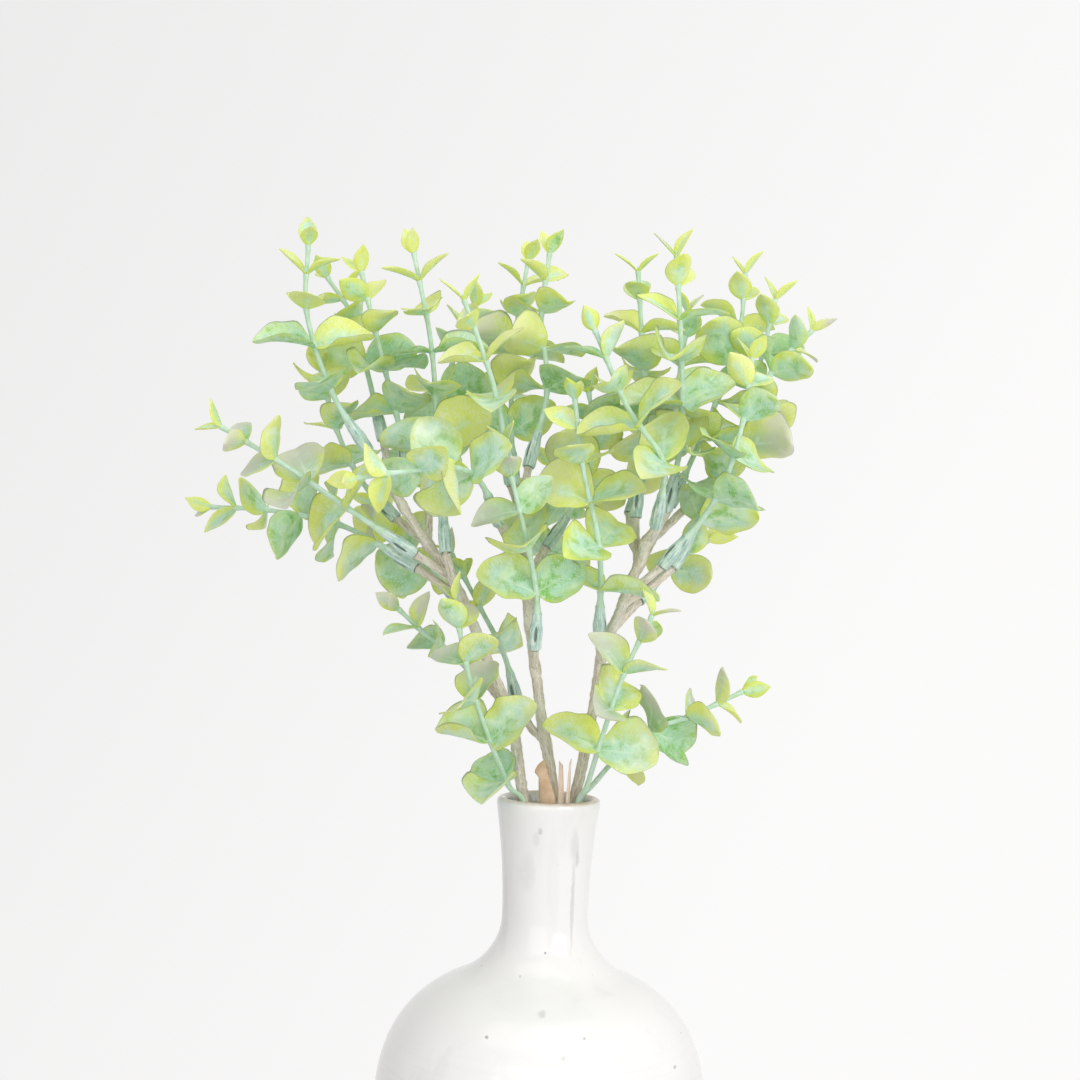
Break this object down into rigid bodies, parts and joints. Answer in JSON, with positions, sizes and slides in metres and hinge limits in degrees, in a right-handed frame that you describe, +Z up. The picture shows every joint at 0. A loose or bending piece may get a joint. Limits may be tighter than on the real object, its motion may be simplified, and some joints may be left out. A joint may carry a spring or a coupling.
{
  "type": "eucalyptus branch in a bottle vase",
  "caption": "Moulded eucalyptus branch of forked woody stems with round-leaved sprays pushed on their twigs, standing in a bellied, glazed bottle vase.",
  "frame": {"origin": "middle of the bottle's flat foot, where it stands on a table", "axes": "+Z up out of the bottle's mouth, -Y towards the viewer, +X to the viewer's right"},
  "size_m": [0.3258, 0.2115, 0.506],
  "materials": {
    "glaze": "gloss white glaze with soft grey smudges",
    "bark": "matt grey-brown moulded bark",
    "wire": "plain drawn wire",
    "leaf": "satin blue-green with yellow-green edges",
    "paper": "uncoated kraft paper",
    "straw": "raw pale splinter"
  },
  "bodies": {
    "root": {"bottle": "glaze", "main_stem_left": "bark", "wire_core_left": "wire", "main_stem_centre": "bark", "wire_core_centre": "wire", "main_stem_right": "bark", "wire_core_right": "wire", "spray_front": "leaf", "spray_rim_right": "leaf", "spray_rim_left": "leaf", "spray_rim_far_right": "leaf", "spray_right_arch": "leaf", "spray_centre_right": "leaf", "spray_centre_low": "leaf", "spray_left_long": "leaf", "spray_left_tall": "leaf", "spray_top_right": "leaf", "spray_top_left": "leaf", "spray_right_hooked": "leaf", "spray_centre_left": "leaf", "spray_left_inner": "leaf", "spray_top_centre": "leaf", "spray_top_inner_right": "leaf", "spray_far_left": "leaf", "spray_far_right": "leaf", "spray_right_tall": "leaf", "spray_left_behind": "leaf", "spray_low_left": "leaf", "spray_middle_behind": "leaf", "spray_top_behind": "leaf", "spray_right_behind": "leaf", "spray_right_small": "leaf", "spray_left_low": "leaf", "spray_left_small": "leaf", "spray_back_left_low": "leaf", "spray_back_left_high": "leaf", "spray_back_centre": "leaf", "spray_back_right_high": "leaf", "paper_strip": "paper", "straw_wide": "straw", "straw_thin": "straw", "straw_bent": "straw"}
  },
  "joints": []
}
